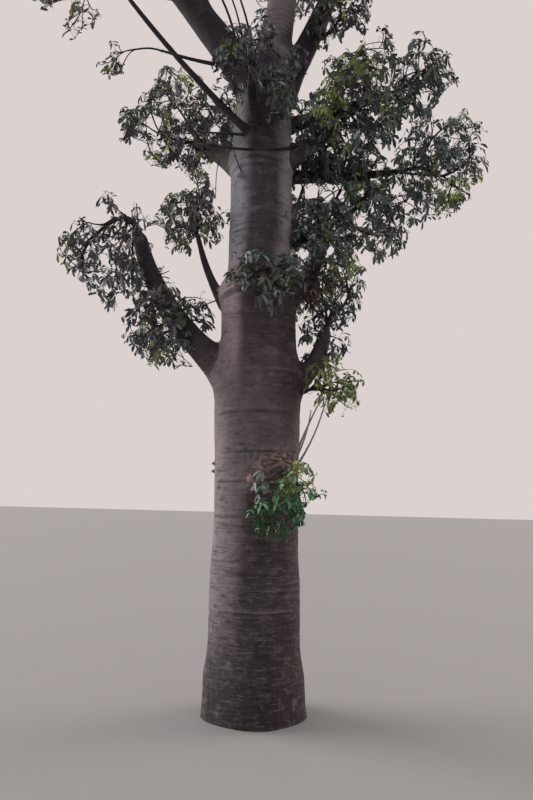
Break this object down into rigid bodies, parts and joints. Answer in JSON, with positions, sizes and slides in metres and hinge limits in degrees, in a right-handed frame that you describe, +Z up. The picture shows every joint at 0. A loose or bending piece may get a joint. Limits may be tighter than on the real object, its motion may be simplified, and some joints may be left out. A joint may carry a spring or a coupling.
{
  "type": "baobab tree",
  "caption": "Baobab tree with a thick flared trunk, stout cut-back boughs and open tufts of drooping hand-shaped leaves, rooted in the ground.",
  "frame": {"origin": "on the ground under the trunk, at the centre of its flat cut", "axes": "+Z up the trunk, +X to the right and -Y to the front as the tree is seen in the picture"},
  "size_m": [3.5824, 2.4085, 7.4726],
  "materials": {
    "bark": "grey-brown bark with fine rings across it, small pits and knobs, matt",
    "leaves": "dark green leaves, slightly glossy above, paler below",
    "young_leaves": "young yellow-green leaves"
  },
  "bodies": {
    "root": {"trunk": "bark", "leader": "bark", "left_low_bough": "bark", "left_upright_bough": "bark", "left_mid_bough": "bark", "upper_left_limb": "bark", "upper_left_fork": "bark", "upper_left_side_bough": "bark", "upper_left_thin_bough": "bark", "upper_right_limb": "bark", "front_left_shoot": "bark", "front_shoot": "bark", "right_mid_bough": "bark", "right_high_bough": "bark", "right_long_bough": "bark", "right_short_bough": "bark", "right_low_bough": "bark", "right_knob_bough": "bark", "back_low_bough": "bark", "back_mid_bough": "bark", "back_high_bough": "bark", "top_back_bough": "bark", "top_front_bough": "bark", "top_foliage": "leaves", "top_left_foliage": "leaves", "top_fork_foliage": "leaves", "top_right_foliage": "leaves", "top_back_foliage": "leaves", "top_front_foliage": "leaves", "shoot_tip_foliage": "leaves", "upper_left_foliage": "leaves", "thin_bough_foliage": "leaves", "side_bough_foliage": "leaves", "left_foliage": "leaves", "left_tip_foliage": "leaves", "left_low_foliage": "leaves", "fork_front_foliage": "leaves", "front_foliage": "leaves", "upper_right_foliage": "leaves", "right_high_inner_foliage": "leaves", "right_high_foliage": "leaves", "right_far_foliage": "leaves", "right_mid_foliage": "leaves", "right_inner_foliage": "leaves", "right_low_foliage": "leaves", "right_knob_foliage": "leaves", "front_low_foliage": "leaves", "young_shoot_foliage": "young_leaves", "burr_foliage": "leaves", "back_low_foliage": "leaves", "back_mid_foliage": "leaves", "back_high_foliage": "leaves"}
  },
  "joints": []
}
